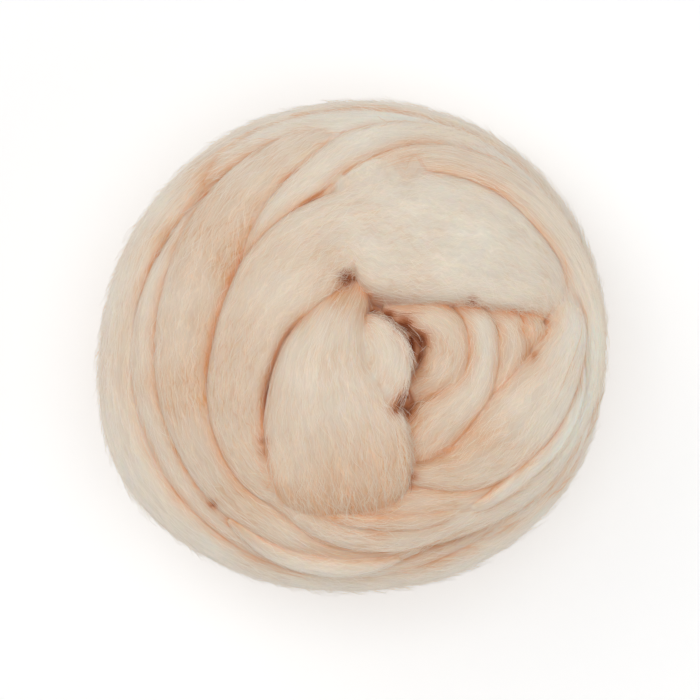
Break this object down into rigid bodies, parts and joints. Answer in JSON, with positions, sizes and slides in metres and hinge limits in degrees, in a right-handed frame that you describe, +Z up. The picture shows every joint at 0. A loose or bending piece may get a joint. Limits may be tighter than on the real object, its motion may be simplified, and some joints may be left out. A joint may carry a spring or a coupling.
{
  "type": "wool roving ball",
  "caption": "Combed wool roving wound by hand into a soft flattened ball, its last turn laid as a nest round a hollow and its free end folded over the middle.",
  "frame": {"origin": "centre of the ball's outline in plan, at the level of the flat spot that it rests on", "axes": "+Z up out of the nest, +Y from the tip of the free end towards the turn that the end comes out from, +X from the free end towards the curls beside it"},
  "size_m": [0.1396, 0.1354, 0.0862],
  "materials": {
    "wool": "soft matte fibre"
  },
  "bodies": {
    "root": {"roving_ball": "wool"}
  },
  "joints": []
}
